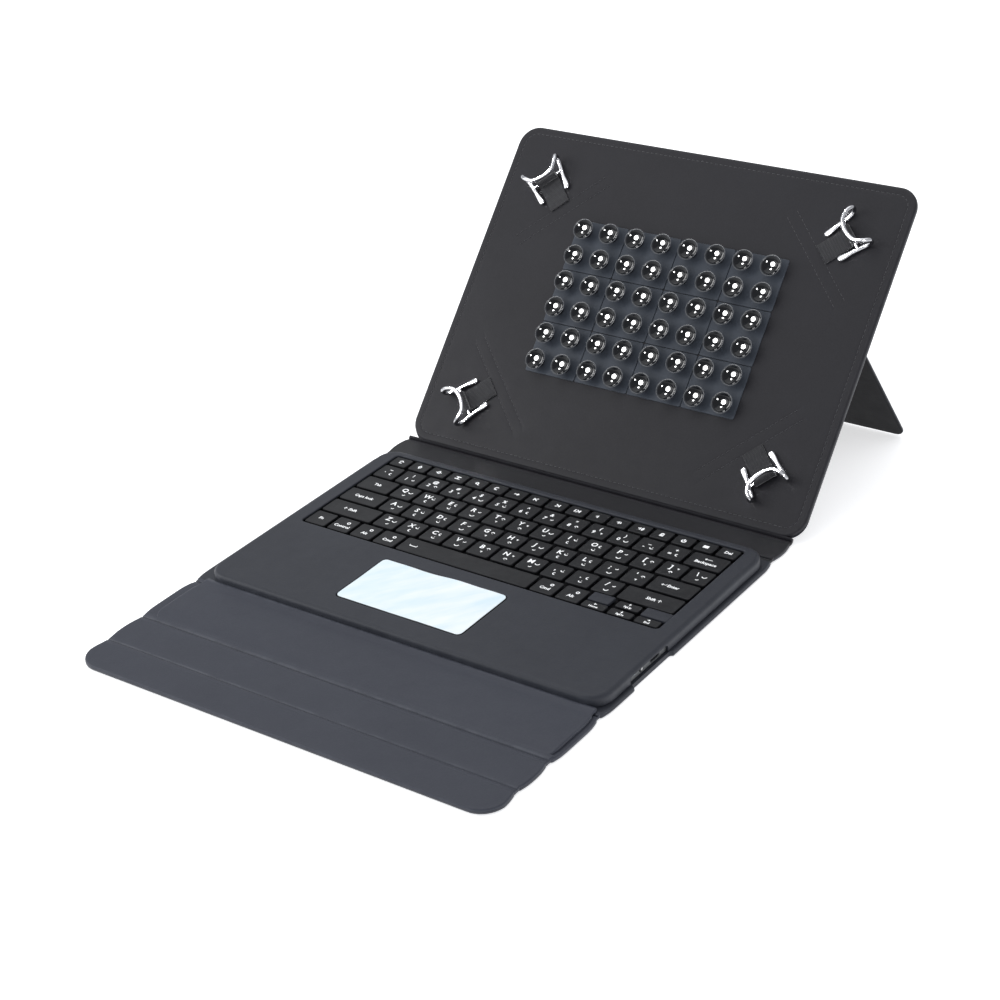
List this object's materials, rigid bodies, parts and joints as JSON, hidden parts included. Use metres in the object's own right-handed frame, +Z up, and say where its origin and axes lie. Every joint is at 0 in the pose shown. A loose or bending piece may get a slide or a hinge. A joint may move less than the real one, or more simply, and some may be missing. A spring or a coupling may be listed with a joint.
{
  "type": "tablet keyboard case",
  "caption": "Folding leather-covered tablet case: slim keyboard deck with touchpad, fold-out front flap, and a tilting back panel with suction cups, sprung corner hooks and a kickstand.",
  "frame": {"origin": "on the table, on the underside of the deck's cover, under the middle of the keyboard", "axes": "+X to the user's right along the keyboard, +Y away from the user towards the back panel, +Z up from the table"},
  "size_m": [0.2827, 0.4478, 0.1633],
  "materials": {
    "leather": "fine-grained charcoal navy synthetic leather",
    "board": "grey stiffening board",
    "shell_plastic": "satin grey moulded plastic",
    "black_plastic": "satin black",
    "key_plastic": "fine matt black keycaps with pale legends",
    "film": "matt black film",
    "circuit": "green solder mask",
    "foil": "satin foil pouch",
    "touch_film": "pale blue protective film, glossy",
    "steel": "bright nickel",
    "magnet": "nickel-plated magnet",
    "chrome": "polished chrome wire",
    "silicone": "clear glossy silicone over dark lining",
    "elastic": "black woven elastic",
    "light_pipe": "clear light pipe"
  },
  "bodies": {
    "deck": {"base_cover": "leather", "base_board": "board", "deck_tray": "shell_plastic", "deck_skin": "leather", "key_membrane": "film", "circuit_board": "circuit", "battery": "foil", "touchpad_sensor": "circuit", "usb_shell": "steel", "usb_tongue": "black_plastic", "status_led": "light_pipe"},
    "spine": {"spine_cover": "leather", "spine_lining": "leather"},
    "back_panel": {"panel_cover": "leather", "panel_board": "board", "panel_lining": "leather", "closure_plate": "steel", "suction_sheet": "silicone"},
    "kickstand": {"kickstand_cover": "leather", "kickstand_board": "leather"},
    "flap_1": {"flap_1_cover": "leather", "flap_1_board": "leather"},
    "flap_2": {"flap_2_cover": "leather", "flap_2_board": "leather"},
    "flap_3": {"flap_3_cover": "leather", "flap_3_board": "leather", "flap_magnet_left": "magnet", "flap_magnet_right": "magnet"},
    "hook_top_left": {"hook_wire_top_left": "chrome", "hook_strap_top_left": "elastic"},
    "hook_top_right": {"hook_wire_top_right": "chrome", "hook_strap_top_right": "elastic"},
    "hook_bottom_left": {"hook_wire_bottom_left": "chrome", "hook_strap_bottom_left": "elastic"},
    "hook_bottom_right": {"hook_wire_bottom_right": "chrome", "hook_strap_bottom_right": "elastic"},
    "power_button": {"power_button": "black_plastic"},
    "touchpad": {"touchpad_plate": "touch_film"},
    "key_backspace": {"key_backspace": "key_plastic"},
    "key_tab": {"key_tab": "key_plastic"},
    "key_caps_lock": {"key_caps_lock": "key_plastic"},
    "key_enter": {"key_enter": "key_plastic"},
    "key_shift_left": {"key_shift_left": "key_plastic"},
    "key_shift_right": {"key_shift_right": "key_plastic"},
    "key_fn": {"key_fn": "key_plastic"},
    "key_control": {"key_control": "key_plastic"},
    "key_option_left": {"key_option_left": "key_plastic"},
    "key_command_left": {"key_command_left": "key_plastic"},
    "key_space": {"key_space": "key_plastic"},
    "key_command_right": {"key_command_right": "key_plastic"},
    "key_option_right": {"key_option_right": "key_plastic"},
    "key_arrow_left": {"key_arrow_left": "key_plastic"},
    "key_arrow_down": {"key_arrow_down": "key_plastic"},
    "key_arrow_right": {"key_arrow_right": "key_plastic"},
    "key_arrow_up": {"key_arrow_up": "key_plastic"},
    "keys_function": {"keys_function_row": "key_plastic"},
    "keys_number": {"keys_number_row": "key_plastic"},
    "keys_upper": {"keys_upper_row": "key_plastic"},
    "keys_home": {"keys_home_row": "key_plastic"},
    "keys_lower": {"keys_lower_row": "key_plastic"}
  },
  "joints": [
    {"name": "back_panel_fold", "type": "hinge", "parent": "spine", "child": "back_panel", "pos_m": [0, 0.0939, 0.00146], "axis": [1, 0, 0], "range_deg": [-47.07, 42.93]},
    {"name": "back_spine_fold", "type": "hinge", "parent": "deck", "child": "spine", "pos_m": [0, 0.0703, 0.00146], "axis": [1, 0, 0], "range_deg": [0, 90]},
    {"name": "flap_1_fold", "type": "hinge", "parent": "deck", "child": "flap_1", "pos_m": [0, -0.107, 0.00146], "axis": [1, 0, 0], "range_deg": [-75, 0]},
    {"name": "flap_2_fold", "type": "hinge", "parent": "flap_1", "child": "flap_2", "pos_m": [0, -0.1511, 0.00146], "axis": [-1, 0, 0], "range_deg": [0, 90]},
    {"name": "flap_3_fold", "type": "hinge", "parent": "flap_2", "child": "flap_3", "pos_m": [0, -0.1782, 0.00146], "axis": [-1, 0, 0], "range_deg": [0, 90]},
    {"name": "hook_top_left_stretch", "type": "slide", "parent": "back_panel", "child": "hook_top_left", "axis": [-0.7071, 0.4816, 0.5177], "range_m": [0, 0.012], "stiffness_N_per_m": 150},
    {"name": "hook_top_right_stretch", "type": "slide", "parent": "back_panel", "child": "hook_top_right", "axis": [0.7071, 0.4816, 0.5177], "range_m": [0, 0.012], "stiffness_N_per_m": 150},
    {"name": "hook_bottom_left_stretch", "type": "slide", "parent": "back_panel", "child": "hook_bottom_left", "axis": [-0.7071, -0.4816, -0.5177], "range_m": [0, 0.012], "stiffness_N_per_m": 150},
    {"name": "hook_bottom_right_stretch", "type": "slide", "parent": "back_panel", "child": "hook_bottom_right", "axis": [0.7071, -0.4816, -0.5177], "range_m": [0, 0.012], "stiffness_N_per_m": 150},
    {"name": "kickstand_swing", "type": "hinge", "parent": "back_panel", "child": "kickstand", "pos_m": [0, 0.17897, 0.09045], "axis": [1, 0, 0], "range_deg": [-78.23, 10]},
    {"name": "button_press", "type": "slide", "parent": "deck", "child": "power_button", "axis": [-1, 0, 0], "range_m": [0, 0.0005], "stiffness_N_per_m": 2000},
    {"name": "pad_click", "type": "slide", "parent": "deck", "child": "touchpad", "axis": [0, 0, -1], "range_m": [0, 0.0005], "stiffness_N_per_m": 3000},
    {"name": "press_backspace", "type": "slide", "parent": "deck", "child": "key_backspace", "axis": [0, 0, -1], "range_m": [0, 0.0012], "stiffness_N_per_m": 500},
    {"name": "press_tab", "type": "slide", "parent": "deck", "child": "key_tab", "axis": [0, 0, -1], "range_m": [0, 0.0012], "stiffness_N_per_m": 500},
    {"name": "press_caps_lock", "type": "slide", "parent": "deck", "child": "key_caps_lock", "axis": [0, 0, -1], "range_m": [0, 0.0012], "stiffness_N_per_m": 500},
    {"name": "press_enter", "type": "slide", "parent": "deck", "child": "key_enter", "axis": [0, 0, -1], "range_m": [0, 0.0012], "stiffness_N_per_m": 500},
    {"name": "press_shift_left", "type": "slide", "parent": "deck", "child": "key_shift_left", "axis": [0, 0, -1], "range_m": [0, 0.0012], "stiffness_N_per_m": 500},
    {"name": "press_shift_right", "type": "slide", "parent": "deck", "child": "key_shift_right", "axis": [0, 0, -1], "range_m": [0, 0.0012], "stiffness_N_per_m": 500},
    {"name": "press_fn", "type": "slide", "parent": "deck", "child": "key_fn", "axis": [0, 0, -1], "range_m": [0, 0.0012], "stiffness_N_per_m": 500},
    {"name": "press_control", "type": "slide", "parent": "deck", "child": "key_control", "axis": [0, 0, -1], "range_m": [0, 0.0012], "stiffness_N_per_m": 500},
    {"name": "press_option_left", "type": "slide", "parent": "deck", "child": "key_option_left", "axis": [0, 0, -1], "range_m": [0, 0.0012], "stiffness_N_per_m": 500},
    {"name": "press_command_left", "type": "slide", "parent": "deck", "child": "key_command_left", "axis": [0, 0, -1], "range_m": [0, 0.0012], "stiffness_N_per_m": 500},
    {"name": "press_space", "type": "slide", "parent": "deck", "child": "key_space", "axis": [0, 0, -1], "range_m": [0, 0.0012], "stiffness_N_per_m": 500},
    {"name": "press_command_right", "type": "slide", "parent": "deck", "child": "key_command_right", "axis": [0, 0, -1], "range_m": [0, 0.0012], "stiffness_N_per_m": 500},
    {"name": "press_option_right", "type": "slide", "parent": "deck", "child": "key_option_right", "axis": [0, 0, -1], "range_m": [0, 0.0012], "stiffness_N_per_m": 500},
    {"name": "press_arrow_left", "type": "slide", "parent": "deck", "child": "key_arrow_left", "axis": [0, 0, -1], "range_m": [0, 0.0012], "stiffness_N_per_m": 500},
    {"name": "press_arrow_down", "type": "slide", "parent": "deck", "child": "key_arrow_down", "axis": [0, 0, -1], "range_m": [0, 0.0012], "stiffness_N_per_m": 500},
    {"name": "press_arrow_right", "type": "slide", "parent": "deck", "child": "key_arrow_right", "axis": [0, 0, -1], "range_m": [0, 0.0012], "stiffness_N_per_m": 500},
    {"name": "press_arrow_up", "type": "slide", "parent": "deck", "child": "key_arrow_up", "axis": [0, 0, -1], "range_m": [0, 0.0012], "stiffness_N_per_m": 500},
    {"name": "press_row_function", "type": "slide", "parent": "deck", "child": "keys_function", "axis": [0, 0, -1], "range_m": [0, 0.0012], "stiffness_N_per_m": 5000},
    {"name": "press_row_number", "type": "slide", "parent": "deck", "child": "keys_number", "axis": [0, 0, -1], "range_m": [0, 0.0012], "stiffness_N_per_m": 5000},
    {"name": "press_row_upper", "type": "slide", "parent": "deck", "child": "keys_upper", "axis": [0, 0, -1], "range_m": [0, 0.0012], "stiffness_N_per_m": 5000},
    {"name": "press_row_home", "type": "slide", "parent": "deck", "child": "keys_home", "axis": [0, 0, -1], "range_m": [0, 0.0012], "stiffness_N_per_m": 5000},
    {"name": "press_row_lower", "type": "slide", "parent": "deck", "child": "keys_lower", "axis": [0, 0, -1], "range_m": [0, 0.0012], "stiffness_N_per_m": 5000}
  ]
}
